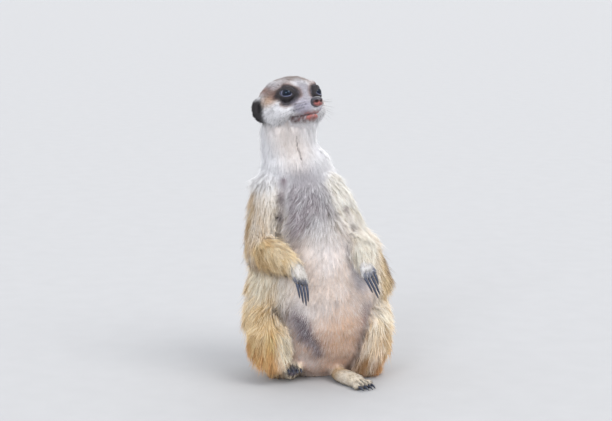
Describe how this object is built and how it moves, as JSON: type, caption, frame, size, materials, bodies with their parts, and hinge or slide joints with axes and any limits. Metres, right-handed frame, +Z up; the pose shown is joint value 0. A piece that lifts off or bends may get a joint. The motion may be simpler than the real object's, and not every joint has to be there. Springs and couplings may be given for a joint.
{
  "type": "meerkat",
  "caption": "Meerkat sitting upright on its rump, hands held in front of its belly, head turned to its left, tail laid out behind",
  "frame": {"origin": "middle of the patch of rump that the animal sits on, at floor height", "axes": "+Z up, the animal faces -Y, its own right side is at -X, its tail lies towards +Y"},
  "size_m": [0.1364, 0.2788, 0.2513],
  "materials": {
    "coat": "golden tan fur, hair tips paler and browner in streaks",
    "coat_pale": "short cream to whitish fur, thin over the belly's pinkish skin",
    "coat_dark": "short blackish brown fur of the eye patches, ears and tail tip",
    "skin": "bare mauve-brown skin of the lips, lids and pads",
    "nose": "dark, slightly moist nose leather",
    "claw": "blue-black horn with a soft gloss",
    "eye": "wet, nearly black eye"
  },
  "bodies": {
    "root": {"trunk": "coat_pale", "neck": "coat_pale", "head": "coat_pale", "jaw": "coat_pale", "nose": "nose", "eye_right": "eye", "ear_right": "coat_dark", "upper_arm_right": "coat", "forearm_right": "coat", "hand_right": "coat_pale", "claw_hand_right_1": "claw", "claw_hand_right_2": "claw", "claw_hand_right_3": "claw", "claw_hand_right_4": "claw", "thigh_right": "coat", "shank_right": "coat", "foot_right": "coat_pale", "claw_foot_right_1": "claw", "claw_foot_right_2": "claw", "claw_foot_right_3": "claw", "claw_foot_right_4": "claw", "eye_left": "eye", "ear_left": "coat_dark", "upper_arm_left": "coat", "forearm_left": "coat", "hand_left": "coat_pale", "claw_hand_left_1": "claw", "claw_hand_left_2": "claw", "claw_hand_left_3": "claw", "claw_hand_left_4": "claw", "thigh_left": "coat", "shank_left": "coat", "foot_left": "coat_pale", "claw_foot_left_1": "claw", "claw_foot_left_2": "claw", "claw_foot_left_3": "claw", "claw_foot_left_4": "claw", "tail_1": "coat", "tail_2": "coat", "tail_3": "coat_dark"}
  },
  "joints": []
}
